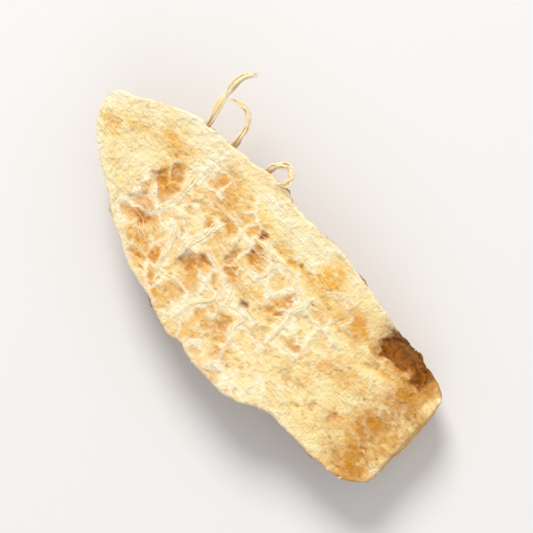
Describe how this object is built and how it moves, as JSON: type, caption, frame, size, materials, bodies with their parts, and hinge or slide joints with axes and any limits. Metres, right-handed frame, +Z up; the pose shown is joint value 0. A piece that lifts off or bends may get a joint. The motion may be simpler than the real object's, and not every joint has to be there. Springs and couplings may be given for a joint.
{
  "type": "dried ginger root slice",
  "caption": "Dried slice of ginger root, the tip of a finger split lengthwise: fibrous pitted cut face above, wrinkled rind below, curled loose fibres at one edge.",
  "frame": {"origin": "middle of the flat spot on the rind that the slice rests on", "axes": "+X along the slice from the pointed tip to the cross-cut end, +Y to the edge with the loose fibres, +Z up out of the cut face"},
  "size_m": [0.018, 0.0093, 0.0033],
  "materials": {
    "dried_ginger": "matt dried flesh, cream to tan, with brown pits and yellow-brown wrinkled rind"
  },
  "bodies": {
    "root": {"ginger_slice": "dried_ginger"}
  },
  "joints": []
}
